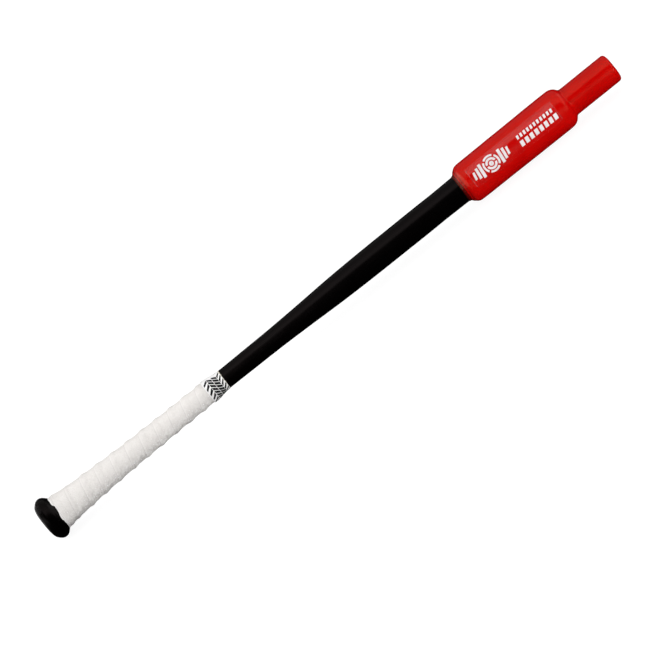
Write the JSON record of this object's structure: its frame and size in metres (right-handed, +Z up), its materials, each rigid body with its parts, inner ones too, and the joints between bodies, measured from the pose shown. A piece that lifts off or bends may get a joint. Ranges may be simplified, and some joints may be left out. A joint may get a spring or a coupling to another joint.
{
  "type": "swing training bat",
  "caption": "Slim turned training bat with a round knob, a wound white grip and a raised red hitting collar near its tip.",
  "frame": {"origin": "centre of the knob's flat end face, on the bat's axis", "axes": "+X along the bat from the knob to the tip, +Z up, the collar's label faces forward and up between -Y and +Z"},
  "size_m": [0.8382, 0.054, 0.054],
  "materials": {
    "core_lacquer": "black lacquer over turned hardwood, satin to semi-gloss, faint long grain",
    "bond_adhesive": "translucent amber double-sided adhesive film",
    "collar_elastomer": "dense dark moulded elastomer, matt with a fine moulded texture",
    "red_film": "red shrunk film, semi-gloss, faint long waves and small creases at the shoulders",
    "clear_label_film": null,
    "grip_polymer": "cushioned white polymer strip, matt, finely dimpled, stretched over its laps",
    "band_film": null
  },
  "bodies": {
    "root": {"bat_core": "core_lacquer", "collar_bond_film": "bond_adhesive", "hitting_collar": "collar_elastomer", "shrink_sleeve": "red_film", "sleeve_label": "clear_label_film", "grip_tape": "grip_polymer", "finish_band": "band_film"}
  },
  "joints": []
}
